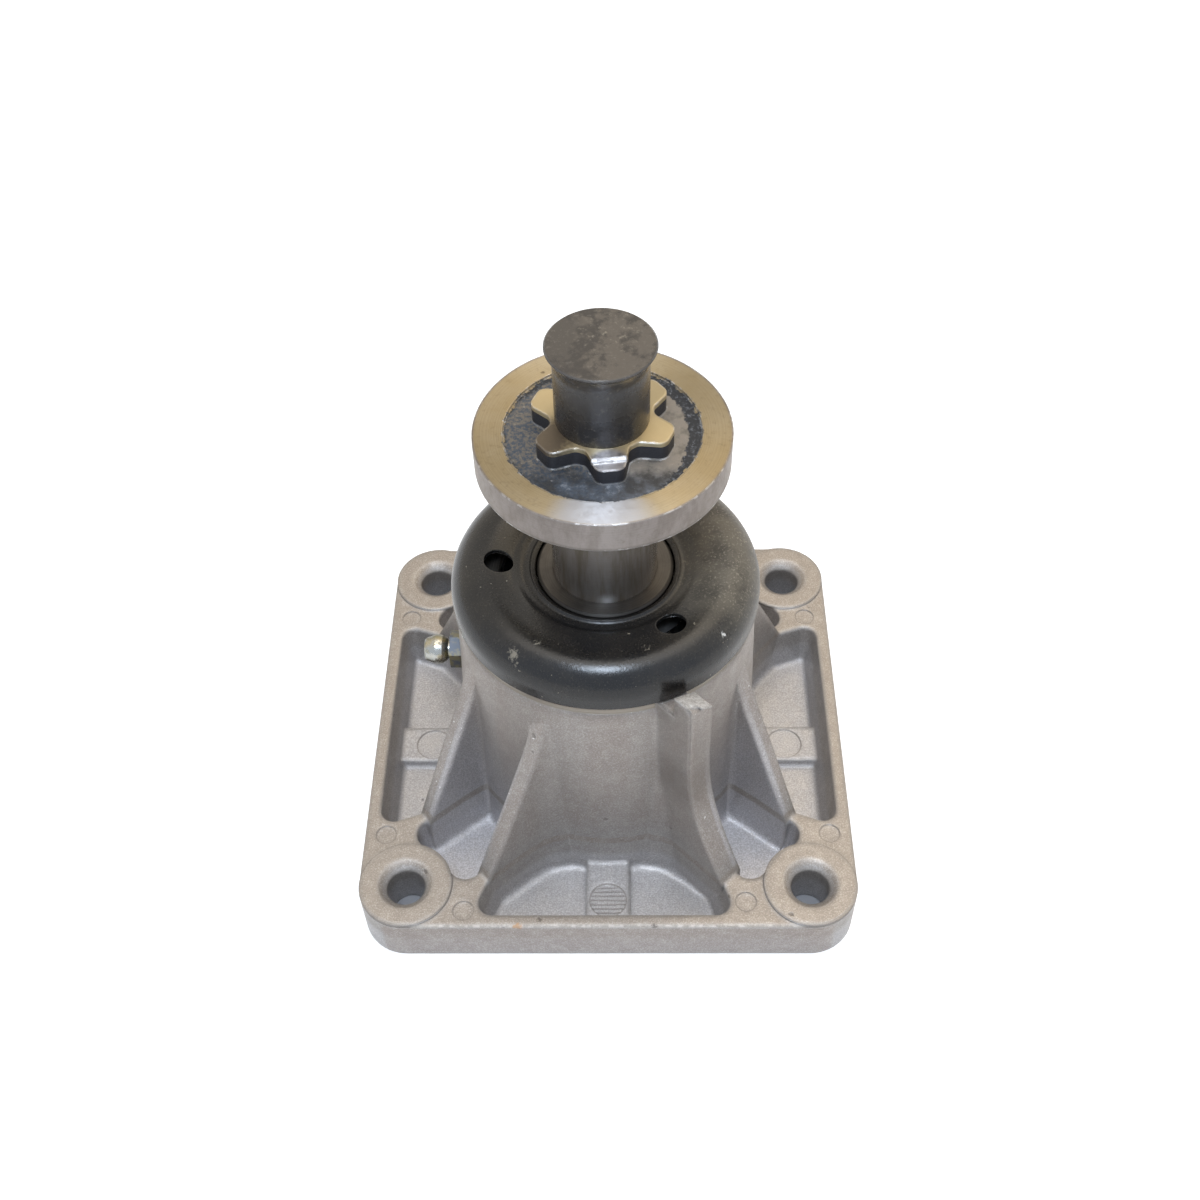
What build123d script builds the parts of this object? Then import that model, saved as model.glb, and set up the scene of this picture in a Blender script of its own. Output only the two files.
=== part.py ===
"""Mower deck spindle: cast housing with a square flange, sealed ball bearings and a forged blade shaft.

Millimetres, +Z up. The origin is the middle of the flange's mounting face, on the shaft's axis.
The flange stands at z = 0 and the blade end points up. The grease nipple points along -X.
"""

from build123d import *
import os
from math import cos, radians, sin, sqrt, tan

os.makedirs("parts", exist_ok=True)

# Mounting flange, driven by the 4 in bolt spacing
bolt_spacing = 101.6
boss_radius = 11.7
bolt_hole_radius = 4.9
countersink_radius = 6.95
countersink_depth = 1.7
flange_side = bolt_spacing + 2 * boss_radius
rim_height = 14.0
rim_width = 3.15
boss_rise = 0.5
floor_height = 2.5
draft_angle = 14.0
pad_reach = 47.0
pad_length = 24.0
pad_width = 11.0
pad_height = 5.0
pad_shift = -1.8
pad_mark_reach = 48.4
pad_mark_radius = 4.7
land_mark_radius = 2.6
ejector_mark_depth = 0.2
land_marks = (
    (-57.1, -36.2),
    (56.9, -36.0),
    (-35.8, -58.0),
    (34.4, -55.6),
    (-57.1, 36.2),
    (56.3, 36.2),
    (-35.8, 57.4),
    (35.8, 57.4),
)

# Hub, a slim cone with a turned rim that carries the dust shield
hub_rim_height = 66.0
hub_top_height = 74.5
hub_rim_radius = 36.2
hub_rim_chamfer = 1.8
hub_cast_radius = 36.6
hub_foot_radius = 39.0
hub_cove = 1.9

# Ribs, two parallel to each diagonal of the flange
rib_offset = 12.3
rib_foot_reach = 56.4
side_rib_offset = 11.2
side_rib_foot_reach = 55.5
rib_crest_width = 4.15
rib_draft = 2.4
rib_flare = 3.0

# Gate, the thick runner left on one rib, broken off at the top
gate_offset = 12.75
gate_width = 6.9
gate_height = 77.0
gate_inner_reach = 38.3
gate_step_height = 69.0
tear_height = 73.5
tear_slope = 31.0

# Bearings, 25 x 52 x 15, nine balls each
bearing_bore_radius = 12.5
bearing_outer_radius = 26.0
bearing_width = 15.0
bearing_pitch_radius = 19.25
inner_land_radius = 16.9
outer_land_radius = 21.7
race_radius = 4.0
ball_radius = 3.9
ball_count = 9
seal_thickness = 1.2
seal_inner_radius = 17.0
seal_outer_radius = 22.4
seal_setback = 0.2
cage_inner_radius = 17.6
cage_outer_radius = 21.0
cage_pocket_radius = 4.05
upper_bearing_height = 57.7
lower_bearing_height = 28.0
grease_cavity_radius = 23.5

# Shaft, forged in one piece with the blade disc, the star drive and the blade stud
shaft_end = 3.0
shaft_groove_radius = 11.7
shaft_groove_width = 1.4
spline_radius = 11.0
spline_top = 25.5
spline_count = 10
spline_depth = 1.3
spline_gap = 1.7
tapped_hole_radius = 5.1
tapped_hole_depth = 20.0
collar_radius = 16.4
collar_height = 5.2
spacer_radius = 15.5
disc_bottom = 113.7
disc_top = 121.6
disc_radius = 28.5
recess_radius = 21.8
recess_depth = 0.6
star_teeth = 6
star_tip_radius = 16.1
star_tip_width = 5.8
star_tip_fillet = 2.2
star_root_radius = 11.3
star_root_width = 8.7
star_root_fillet = 2.0
star_top = 125.8
star_turn = -83.0
dent_radius = 13.3
dent_depth = 0.9
burr_width = 0.8
burr_length = 7.9
stud_radius = 9.45
stud_top = 142.5

# Cap pushed over the stud
cap_top = 145.7
cap_barrel_radius = 10.35
cap_rim_radius = 11.9
cap_wall = 0.85

# Dust shield
shield_sheet = 1.2
shield_lip_height = 69.8
shield_lip_radius = hub_rim_radius + shield_sheet
shield_crest_height = 80.6
shield_crest_radius = 29.5
shield_dish_height = 77.4
shield_hole_radius = 16.8
shield_vent_radius = 3.5
shield_vent_reach = 25.5
shield_vent_height = 80.0
shield_fall_radius = 21.9
shield_fall_height = 78.75
shield_vent_angles = (-178.0, -53.0, 64.0)

# Grease nipple
nipple_height = 45.3
nipple_seat = 35.6
nipple_tip = 46.7
nipple_hex_flats = 8.4
nipple_hex_height = 4.5
nipple_neck_radius = 2.35
nipple_head_radius = 3.8
nipple_tip_radius = 2.9
nipple_thread_radius = 3.0
nipple_thread_length = 8.0
spot_face_radius = 5.6
passage_radius = 1.8
channel_radius = 1.4
tip_hole_radius = 0.95
check_ball_radius = 1.2


def finish(part, name):
    """Give a finished piece its name and write it."""
    part.label = name
    export_step(part, f"parts/{name}.step")


# Pockets and ribs of the casting

pocket_depth = rim_height - floor_height
pocket_edge = flange_side / 2 - rim_width
pocket_half_length = 33.9
pocket_inner_edge = 22.0
pocket_end_slope = 70.0
pocket_run_in = (pocket_edge - pocket_inner_edge) / tan(radians(pocket_end_slope))


def side_pocket(gate_shift):
    """Tapered pocket on the -Y side; gate_shift moves its right end in beside the gate."""
    left = -pocket_half_length
    right = pocket_half_length - gate_shift
    with BuildPart(mode=Mode.PRIVATE) as pocket:
        with BuildSketch(Plane.XY.offset(rim_height)):
            with BuildLine():
                Polyline(
                    (left, -pocket_edge),
                    (right, -pocket_edge),
                    (pocket_half_length - pocket_run_in, -pocket_inner_edge),
                    (left + pocket_run_in, -pocket_inner_edge),
                    close=True,
                )
            outline = make_face()
            fillet(outline.vertices().group_by(Axis.Y)[0], 3.7)
        extrude(amount=-pocket_depth, taper=draft_angle)
        fillet(pocket.faces().sort_by(Axis.Z)[0].edges().group_by(Axis.Y)[0], 1.2)
    return pocket.part


def corner_pocket():
    """Pocket between the two ribs of the +X +Y corner."""
    reach = 61.5
    inner_reach = 20.0
    with BuildPart(mode=Mode.PRIVATE) as pocket:
        with BuildSketch(Plane.XY.offset(rim_height)):
            with Locations(((reach + inner_reach) / 2, 0)):
                RectangleRounded(reach - inner_reach, 21.4, 4.4)
        extrude(amount=-pocket_depth, taper=draft_angle / 2)
    return pocket.part.rotate(Axis.Z, 45)


def rib(foot_reach):
    """One drafted rib along +X with a flared foot, from inside the hub to its low end on the rim."""
    # Reach, height of the crest, and how much the wall swells towards the hub
    foot_end = (foot_reach + 0.6, rim_height - 1.1, 0.0)
    stations = (
        (29.0, 66.0, 6.0),
        (34.7, 59.0, 2.8),
        (36.9, 52.4, 1.4),
        (39.4, 46.6, 0.5),
        (45.2, 35.2, 0.0),
        foot_end,
    )
    # The flare runs out just below the floor, so that it meets the floor at a clear angle
    flare_bottom = floor_height - 0.35
    flare_top = flare_bottom + rib_flare
    with BuildPart(mode=Mode.PRIVATE) as blade:
        for reach, crest, swell in stations:
            crest_half = rib_crest_width / 2
            wall = crest_half + (crest - flare_top) * tan(radians(rib_draft)) + swell
            foot = wall + rib_flare
            with BuildSketch(Plane.YZ.offset(reach)):
                with BuildLine():
                    Polyline((-foot, flare_bottom), (-foot, 1.0), (foot, 1.0), (foot, flare_bottom))
                    CenterArc((foot, flare_top), rib_flare, 180, 90)
                    Polyline((wall, flare_top), (crest_half, crest), (-crest_half, crest), (-wall, flare_top))
                    CenterArc((-foot, flare_top), rib_flare, 270, 90)
                make_face()
        loft(ruled=True)
    return blade.part


def gate():
    """The runner left on the front right rib; it stands up beside the shield and is torn off at a slant."""
    crest_curve = (
        (43.3, gate_height),
        (44.0, 60.0),
        (45.7, 38.5),
        (48.4, 30.2),
        (51.8, 23.0),
        (56.6, rim_height),
    )
    with BuildPart(mode=Mode.PRIVATE) as runner:
        with BuildSketch(Plane.XZ):
            with BuildLine():
                Spline(*crest_curve)
                Polyline(
                    crest_curve[-1],
                    (crest_curve[-1][0], floor_height - 1),
                    (28.0, floor_height - 1),
                    (28.0, gate_step_height),
                    (gate_inner_reach, gate_step_height),
                    (gate_inner_reach, gate_height),
                    crest_curve[0],
                )
            make_face()
        extrude(amount=gate_width / 2, both=True)
        # Torn slope of the top, and a bite out of its near corner
        slab = 12.0
        tilt = Rotation(-tear_slope, 0, 0)
        with Locations(Location((41.0, 0, tear_height)) * tilt * Location((0, 0, slab / 2))):
            Box(20.0, 20.0, slab, mode=Mode.SUBTRACT)
        with Locations((43.6, -1.6, tear_height + 1.2)):
            Box(2.6, 3.2, 2.4, rotation=(-20, 35, 25), mode=Mode.SUBTRACT)
    return runner.part


# Two ribs per corner: the first lies along the side pocket, the second along the front or back one
ribs = []
for quarter in range(4):
    for side in (-1, 1):
        along_front = (quarter + (side == 1)) % 2 == 1
        offset_from_diagonal = rib_offset if along_front else side_rib_offset
        reach = rib_foot_reach if along_front else side_rib_foot_reach
        if quarter == 3 and side == -1:
            # This one is hidden in the runner but for its flared foot
            reach -= 1.5
        ribs.append(rib(reach).translate((0, side * offset_from_diagonal, 0)).rotate(Axis.Z, 45 + 90 * quarter))
ribs.append(gate().translate((0, -gate_offset, 0)).rotate(Axis.Z, -45))


# Housing casting

with BuildPart() as flange:
    with BuildSketch():
        RectangleRounded(flange_side, flange_side, boss_radius)
    extrude(amount=rim_height)
    for quarter in range(4):
        gate_shift = 2.0 if quarter == 0 else 0.0
        add(side_pocket(gate_shift).rotate(Axis.Z, 90 * quarter), mode=Mode.SUBTRACT)
        add(corner_pocket().rotate(Axis.Z, 90 * quarter), mode=Mode.SUBTRACT)
    # A flat pad in the middle of each side pocket, where a large ejector pin pushes
    with BuildSketch():
        with Locations((0, pad_shift)):
            with PolarLocations(pad_reach, 4):
                Rectangle(pad_length, pad_width)
    extrude(amount=pad_height)
    with BuildSketch():
        with GridLocations(bolt_spacing, bolt_spacing, 2, 2):
            Circle(boss_radius)
    extrude(amount=rim_height + boss_rise)
    # Hub cone
    with BuildSketch(Plane.XZ):
        with BuildLine():
            Polyline(
                (0, 0),
                (hub_foot_radius + hub_cove, 0),
                (hub_foot_radius + hub_cove, floor_height - 0.7),
                (hub_foot_radius + 0.3 * hub_cove, floor_height + 0.7),
                (hub_foot_radius, floor_height + hub_cove),
                (hub_cast_radius, hub_rim_height),
                (hub_rim_radius, hub_rim_height + 0.4),
                (hub_rim_radius, hub_top_height - hub_rim_chamfer),
                (hub_rim_radius - hub_rim_chamfer, hub_top_height),
                (0, hub_top_height),
                close=True,
            )
        make_face()
    revolve(axis=Axis.Z)

with BuildPart() as housing_casting:
    add(ribs)
    add(flange.part)
    # Shallow round marks of the ejector pins, on the pads and on the lands beside the bosses
    with BuildSketch(Plane.XY.offset(pad_height)):
        with Locations((0, pad_shift)):
            with PolarLocations(pad_mark_reach, 4):
                Circle(pad_mark_radius)
    extrude(amount=-ejector_mark_depth, mode=Mode.SUBTRACT)
    with BuildSketch(Plane.XY.offset(rim_height)):
        with Locations(land_marks):
            Circle(land_mark_radius)
    extrude(amount=-ejector_mark_depth, mode=Mode.SUBTRACT)
    # Bolt holes with their shallow countersinks
    with Locations(Plane.XY.offset(rim_height + boss_rise)):
        with GridLocations(bolt_spacing, bolt_spacing, 2, 2):
            CounterSinkHole(bolt_hole_radius, countersink_radius, counter_sink_angle=100)
    # Bearing seats open at both ends, a grease cavity between them and a groove for the bore ring
    with Locations(Plane.XY.offset(hub_top_height)):
        Hole(bearing_outer_radius, depth=hub_top_height - upper_bearing_height)
    with Locations(Plane.XY.offset(upper_bearing_height)):
        Hole(grease_cavity_radius, depth=upper_bearing_height)
    lower_seat_top = lower_bearing_height + bearing_width
    with Locations(Plane.XY.offset(lower_seat_top)):
        Hole(bearing_outer_radius, depth=lower_seat_top)
    groove_depth = 1.1
    groove_width = 1.6
    with BuildSketch(Plane.XY.offset(lower_bearing_height - groove_width)):
        Circle(bearing_outer_radius + groove_depth)
    extrude(amount=groove_width, mode=Mode.SUBTRACT)
    # Spot face, tapped hole and drilled passage for the grease nipple
    nipple_bores = (
        (spot_face_radius, -4.0),
        (nipple_thread_radius, nipple_thread_length + 0.6),
        (passage_radius, nipple_seat - grease_cavity_radius + 1.0),
    )
    for radius, depth in nipple_bores:
        with BuildSketch(Plane.YZ.offset(-nipple_seat)):
            with Locations((0, nipple_height)):
                Circle(radius)
        extrude(amount=depth, mode=Mode.SUBTRACT)
finish(housing_casting.part, "housing_casting")


# Dust shield, one pressed sheet gripping the turned rim of the hub

dish_foot_radius = shield_hole_radius + 2.25
upturn_centre = (dish_foot_radius, shield_dish_height + 1.4)
turn_centre = (shield_crest_radius, shield_crest_height - shield_lip_radius + shield_crest_radius)

with BuildPart() as dust_shield:
    with BuildSketch(Plane.XZ):
        with BuildLine():
            edges = []
            # Upper side first, then the underside one sheet lower
            for drop in (0.0, shield_sheet):
                lip = shield_lip_radius - drop
                foot = Line((lip, shield_lip_height), (lip, turn_centre[1]))
                CenterArc(turn_centre, lip - shield_crest_radius, 0, 90)
                Spline(
                    (shield_crest_radius, shield_crest_height - drop),
                    (shield_vent_reach, shield_vent_height - drop),
                    (shield_fall_radius, shield_fall_height - drop),
                    (dish_foot_radius, shield_dish_height - drop),
                    tangents=((-1, 0), (-1, 0)),
                )
                upturn = CenterArc(upturn_centre, upturn_centre[1] - shield_dish_height + drop, 270, -60)
                edges.append((foot @ 0, upturn @ 1))
            Line(edges[0][0], edges[1][0])
            Line(edges[0][1], edges[1][1])
        make_face()
    revolve(axis=Axis.Z)
    # Three vent holes in the sloping dish
    with BuildSketch(Plane.XY.offset(shield_crest_height)):
        for angle in shield_vent_angles:
            with PolarLocations(shield_vent_reach, 1, start_angle=angle):
                Circle(shield_vent_radius)
    extrude(amount=-12.0, mode=Mode.SUBTRACT)
finish(dust_shield.part, "dust_shield")


# Grease nipple, with the check ball and the spring that holds it shut

nipple_axis = Axis((0, 0, nipple_height), (-1, 0, 0))
hex_top = nipple_seat + nipple_hex_height
thread_end = nipple_seat - nipple_thread_length
ball_seat = nipple_tip - 0.5
ball_reach = ball_seat - sqrt(check_ball_radius**2 - tip_hole_radius**2) - 0.02
spring_foot = hex_top - 2.0

with BuildPart() as grease_nipple:
    with BuildSketch(Plane.XZ):
        with Locations((0, nipple_height)):
            Polygon(
                (-thread_end, 0),
                (-thread_end, nipple_thread_radius),
                (-hex_top, nipple_thread_radius),
                (-hex_top, nipple_neck_radius),
                (-hex_top - 0.5, nipple_neck_radius),
                (-hex_top - 1.2, nipple_head_radius - 0.7),
                (-hex_top - 2.0, nipple_head_radius - 0.2),
                (-hex_top - 3.0, nipple_head_radius),
                (-hex_top - 3.8, nipple_head_radius),
                (-nipple_tip + 0.4, nipple_tip_radius),
                (-nipple_tip, nipple_tip_radius - 0.4),
                (-nipple_tip, 0),
                align=None,
            )
    revolve(axis=nipple_axis)
    with BuildSketch(Plane.YZ.offset(-nipple_seat)):
        with Locations((0, nipple_height)):
            RegularPolygon(nipple_hex_flats / 2, 6, major_radius=False, rotation=30)
    extrude(amount=-nipple_hex_height)
    # Drilled through, wider where the ball and spring sit
    with BuildSketch(Plane.XZ):
        with Locations((0, nipple_height)):
            Polygon(
                (-thread_end + 1, 0),
                (-thread_end + 1, tip_hole_radius),
                (-spring_foot, tip_hole_radius),
                (-spring_foot, channel_radius),
                (-ball_seat, channel_radius),
                (-ball_seat, tip_hole_radius),
                (-nipple_tip - 1, tip_hole_radius),
                (-nipple_tip - 1, 0),
                align=None,
            )
    revolve(axis=nipple_axis, mode=Mode.SUBTRACT)
finish(grease_nipple.part, "grease_nipple")

with BuildPart() as nipple_ball:
    with Locations((-ball_reach, 0, nipple_height)):
        Sphere(check_ball_radius)
finish(nipple_ball.part, "nipple_ball")

with BuildPart() as nipple_spring:
    wire = 0.3
    coil_radius = channel_radius - wire
    spring_length = ball_reach - check_ball_radius - spring_foot - wire
    with BuildLine():
        coil = Helix(
            pitch=spring_length / 4,
            height=spring_length,
            radius=coil_radius,
            center=(-spring_foot - wire / 2, 0, nipple_height),
            direction=(-1, 0, 0),
        )
    with BuildSketch(Plane(coil @ 0, z_dir=coil % 0)):
        Rectangle(wire, wire)
    sweep(path=coil.edge(), is_frenet=True)
finish(nipple_spring.part, "nipple_spring")


# Bearings, each with a seal on its outward side; the grease side is open

def outer_ring(middle, outward):
    """Outer ring with its ball groove and the seal's recess; outward is 1 up or -1 down."""
    bore_edge = middle + outward * bearing_width / 2
    recess_edge = bore_edge - outward * (seal_setback + seal_thickness)
    with BuildPart(mode=Mode.PRIVATE) as ring:
        with BuildSketch(Plane.XZ):
            with BuildLine():
                Polyline(
                    (outer_land_radius, middle - outward * bearing_width / 2),
                    (bearing_outer_radius, middle - outward * bearing_width / 2),
                    (bearing_outer_radius, bore_edge),
                    (seal_outer_radius, bore_edge),
                    (seal_outer_radius, recess_edge),
                    (outer_land_radius, recess_edge),
                    close=True,
                )
            make_face()
            with Locations((bearing_pitch_radius, middle)):
                Circle(race_radius, mode=Mode.SUBTRACT)
        revolve(axis=Axis.Z)
        chamfer(ring.edges().filter_by(GeomType.CIRCLE).group_by(SortBy.RADIUS)[-1], 0.8)
    return ring.part


def inner_ring(middle):
    """Inner ring with its ball groove."""
    with BuildPart(mode=Mode.PRIVATE) as ring:
        with BuildSketch(Plane.XZ):
            with Locations(((bearing_bore_radius + inner_land_radius) / 2, middle)):
                Rectangle(inner_land_radius - bearing_bore_radius, bearing_width)
            with Locations((bearing_pitch_radius, middle)):
                Circle(race_radius, mode=Mode.SUBTRACT)
        revolve(axis=Axis.Z)
    return ring.part


def balls(middle):
    """The balls of one bearing, spread evenly."""
    with BuildPart(mode=Mode.PRIVATE) as ball_set:
        with Locations((0, 0, middle)):
            with PolarLocations(bearing_pitch_radius, ball_count):
                Sphere(ball_radius)
    return ball_set.part


def cage(middle, outward):
    """Moulded snap-in cage, its closed ring on the grease side."""
    back = 5.2
    front = 1.9
    with BuildPart(mode=Mode.PRIVATE) as crown:
        with BuildSketch(Plane.XY.offset(middle - outward * back)):
            Circle(cage_outer_radius)
            Circle(cage_inner_radius, mode=Mode.SUBTRACT)
        extrude(amount=outward * (back + front))
        with Locations((0, 0, middle)):
            with PolarLocations(bearing_pitch_radius, ball_count):
                Sphere(cage_pocket_radius, mode=Mode.SUBTRACT)
    return crown.part


def seal(middle, outward):
    """Flat rubber seal with a steel core, snapped into the outer ring."""
    outer_face = middle + outward * (bearing_width / 2 - seal_setback)
    with BuildPart(mode=Mode.PRIVATE) as disc:
        with BuildSketch(Plane.XY.offset(outer_face)):
            Circle(seal_outer_radius)
            Circle(seal_inner_radius, mode=Mode.SUBTRACT)
        extrude(amount=-outward * seal_thickness)
    return disc.part


for name, bottom, outward in (("upper", upper_bearing_height, 1), ("lower", lower_bearing_height, -1)):
    middle = bottom + bearing_width / 2
    finish(outer_ring(middle, outward), f"{name}_bearing_outer_ring")
    finish(inner_ring(middle), f"{name}_bearing_inner_ring")
    finish(balls(middle), f"{name}_bearing_balls")
    finish(cage(middle, outward), f"{name}_bearing_cage")
    finish(seal(middle, outward), f"{name}_bearing_seal")


# Spring rings that hold the lower bearing

with BuildPart() as bore_retaining_ring:
    ring_thickness = 1.5
    lug_angles = (-9.0, 9.0)
    with BuildSketch(Plane.XY.offset(lower_bearing_height - ring_thickness)):
        Circle(bearing_outer_radius + groove_depth - 0.1)
        Circle(bearing_outer_radius - 1.8, mode=Mode.SUBTRACT)
        for angle in lug_angles:
            with Locations(Rotation(0, 0, angle) * Location((bearing_outer_radius - 2.6, 0))):
                Circle(2.6)
        Polygon((0, 0), (40, -4.5), (40, 4.5), align=None, mode=Mode.SUBTRACT)
        for angle in lug_angles:
            with Locations(Rotation(0, 0, angle) * Location((bearing_outer_radius - 2.6, 0))):
                Circle(1.2, mode=Mode.SUBTRACT)
    extrude(amount=ring_thickness)
finish(bore_retaining_ring.part, "bore_retaining_ring")

with BuildPart() as shaft_retaining_ring:
    ring_thickness = 1.2
    lug_reach = 14.7
    lug_angles = (-11.0, 11.0)
    with BuildSketch(Plane.XY.offset(lower_bearing_height - ring_thickness)):
        Circle(shaft_groove_radius + 2.4)
        for angle in lug_angles:
            with Locations(Rotation(0, 0, angle) * Location((lug_reach, 0))):
                Circle(1.9)
        Circle(shaft_groove_radius, mode=Mode.SUBTRACT)
        Polygon((0, 0), (40, -3.5), (40, 3.5), align=None, mode=Mode.SUBTRACT)
        for angle in lug_angles:
            with Locations(Rotation(0, 0, angle) * Location((lug_reach, 0))):
                Circle(0.9, mode=Mode.SUBTRACT)
    extrude(amount=ring_thickness)
finish(shaft_retaining_ring.part, "shaft_retaining_ring")


# Tube between the two inner rings, and the collar above the upper one

with BuildPart() as bearing_spacer:
    with BuildSketch(Plane.XY.offset(lower_seat_top)):
        Circle(spacer_radius)
        Circle(bearing_bore_radius, mode=Mode.SUBTRACT)
    extrude(amount=upper_bearing_height - lower_seat_top)
finish(bearing_spacer.part, "bearing_spacer")

with BuildPart() as shaft_collar:
    with BuildSketch(Plane.XY.offset(upper_bearing_height + bearing_width)):
        Circle(collar_radius)
        Circle(bearing_bore_radius, mode=Mode.SUBTRACT)
    extrude(amount=collar_height)
    chamfer(shaft_collar.edges().group_by(Axis.Z)[-1].sort_by(SortBy.RADIUS)[-1], 0.5)
finish(shaft_collar.part, "shaft_collar")


# Shaft with the blade disc, the star drive and the blade stud, one forging turned all over

star_floor = disc_top - recess_depth

with BuildPart() as spindle_shaft:
    with BuildSketch(Plane.XZ):
        with BuildLine():
            Polyline(
                (0, shaft_end),
                (spline_radius - 0.8, shaft_end),
                (spline_radius, shaft_end + 0.8),
                (spline_radius, spline_top),
                (bearing_bore_radius, spline_top),
                (bearing_bore_radius, lower_bearing_height - shaft_groove_width),
                (shaft_groove_radius, lower_bearing_height - shaft_groove_width),
                (shaft_groove_radius, lower_bearing_height),
                (bearing_bore_radius, lower_bearing_height),
                (bearing_bore_radius, disc_bottom),
                (disc_radius, disc_bottom),
                (disc_radius, disc_top),
                (recess_radius, disc_top),
                (recess_radius, star_floor),
                (stud_radius, star_floor),
                (stud_radius, stud_top - 1.0),
                (stud_radius - 1.0, stud_top),
                (0, stud_top),
                close=True,
            )
        turned = make_face()
        fillet(turned.vertices().sort_by_distance((bearing_bore_radius, disc_bottom))[0], 2.0)
        fillet(turned.vertices().sort_by_distance((disc_radius, disc_top))[0], 1.2)
        fillet(turned.vertices().sort_by_distance((disc_radius, disc_bottom))[0], 0.8)
    revolve(axis=Axis.Z)
    # Star drive, six blunt teeth round a drum
    tooth_taper = (star_root_width - star_tip_width) / (star_tip_radius - star_root_radius)
    with BuildSketch(Plane.XY.offset(star_floor)) as star:
        Circle(star_root_radius)
        inner_reach = star_root_radius - 2.0
        inner_width = star_root_width + 2.0 * tooth_taper
        with PolarLocations(0, star_teeth, start_angle=star_turn):
            Polygon(
                (inner_reach, -inner_width / 2),
                (star_tip_radius, -star_tip_width / 2),
                (star_tip_radius, star_tip_width / 2),
                (inner_reach, inner_width / 2),
                align=None,
            )
        fillet(star.vertices().group_by(SortBy.DISTANCE)[0], star_root_fillet)
        fillet(star.vertices().group_by(SortBy.DISTANCE)[-1], star_tip_fillet)
    extrude(amount=star_top - star_floor)
    # The front tooth was struck: its end is lower, with a burr pushed up along the step
    with BuildSketch(Plane.XY.offset(star_top - dent_depth)):
        with PolarLocations(dent_radius + 4.0, 1, start_angle=star_turn):
            Rectangle(8.0, 12.0)
    extrude(amount=3.0, mode=Mode.SUBTRACT)
    with BuildSketch(Plane.XY.offset(star_top - dent_depth - 0.3)):
        with PolarLocations(dent_radius, 1, start_angle=star_turn):
            SlotOverall(burr_length, burr_width, rotation=90)
    extrude(amount=dent_depth)
    # Splines for the pulley, and the tapped hole for its bolt
    with BuildSketch(Plane.XY.offset(shaft_end)):
        with PolarLocations(spline_radius, spline_count):
            Rectangle(2 * spline_depth, spline_gap)
    extrude(amount=spline_top - shaft_end, mode=Mode.SUBTRACT)
    with BuildSketch(Plane.XZ):
        Polygon(
            (0, shaft_end - 1),
            (tapped_hole_radius + 2.0, shaft_end - 1),
            (tapped_hole_radius, shaft_end + 1),
            (tapped_hole_radius, shaft_end + tapped_hole_depth),
            (0, shaft_end + tapped_hole_depth + 3.0),
            align=None,
        )
    revolve(axis=Axis.Z, mode=Mode.SUBTRACT)
finish(spindle_shaft.part, "spindle_shaft")


# Cap pushed over the stud, its rim flared like a trumpet

with BuildPart() as stud_cap:
    flare_foot = (cap_barrel_radius, 141.0)
    flare_edge = (cap_rim_radius, cap_top - 0.4)
    with BuildSketch(Plane.XZ):
        with BuildLine():
            Polyline(
                flare_foot,
                (cap_barrel_radius, star_top),
                (cap_barrel_radius - cap_wall, star_top),
                (cap_barrel_radius - cap_wall, cap_top - cap_wall),
                (0, cap_top - cap_wall),
                (0, cap_top),
                (cap_rim_radius - 0.4, cap_top),
                flare_edge,
            )
            TangentArc(flare_foot, flare_edge, tangent=(0, 1))
        make_face()
    revolve(axis=Axis.Z)
finish(stud_cap.part, "stud_cap")
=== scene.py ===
"""Looks of a mower deck spindle standing on its flange, blade end up. Metres, in the frame of the solids."""

from math import radians

import bpy
from mathutils import Matrix, Vector

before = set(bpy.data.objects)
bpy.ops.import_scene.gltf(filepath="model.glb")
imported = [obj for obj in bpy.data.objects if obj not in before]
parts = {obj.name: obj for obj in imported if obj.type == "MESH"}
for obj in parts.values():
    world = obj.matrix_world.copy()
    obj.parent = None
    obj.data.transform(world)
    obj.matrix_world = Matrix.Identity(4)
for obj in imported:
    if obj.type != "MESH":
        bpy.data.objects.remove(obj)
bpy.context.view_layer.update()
bpy.ops.object.select_all(action="DESELECT")


# Housing casting: die-cast aluminium with a grainy skin, left bare. The rim under the dust shield,
# the bearing seats and the mounting face are turned or milled, the rest is as it left the die.

cast_colour = (0.46, 0.43, 0.405, 1.0)
cast_dark = (0.375, 0.347, 0.325, 1.0)
cast_light = (0.60, 0.57, 0.54, 1.0)
cast_brown = (0.345, 0.283, 0.245, 1.0)
cast_floor_painted_light = (0.53, 0.52, 0.53, 1.0)
cast_gap_painted_light = (0.64, 0.63, 0.66, 1.0)
cast_land_band_colour = (0.375, 0.325, 0.275, 1.0)
cast_stain_and_shade = (0.19, 0.165, 0.145, 1.0)
torn_colour = (0.70, 0.68, 0.66, 1.0)
machined_in_shadow = (0.22, 0.19, 0.155, 1.0)
machined_in_shadow_light = (0.34, 0.31, 0.27, 1.0)
boss_outline_shade = (0.09, 0.075, 0.065, 1.0)
worn_and_highlight_colour = (0.72, 0.68, 0.64, 1.0)
orange_colour = (0.50, 0.25, 0.08, 1.0)
land_height = 0.0140
pad_height = 0.0050
front_side = -0.0625
bolt_place = 0.0508
boss_radius = 0.01172
band_foot = 0.0664
band_radius = 0.0364
bore_radius = 0.0262
gate_height = 0.0735
gate_middle = 0.01275
gate_slope = 0.60


def add_node(tree, kind, inputs=None, **settings):
    """Adds a node. Inputs are plain values or other nodes' outputs, settings are the node's own options."""
    node = tree.nodes.new(kind)
    for name, value in settings.items():
        setattr(node, name, value)
    for name, value in (inputs or {}).items():
        if isinstance(value, bpy.types.NodeSocket):
            tree.links.new(value, node.inputs[name])
        else:
            node.inputs[name].default_value = value
    return node


def calculate(tree, operation, first, second=0.0):
    """Result of one sum on two values."""
    return add_node(tree, "ShaderNodeMath", {0: first, 1: second}, operation=operation).outputs[0]


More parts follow.
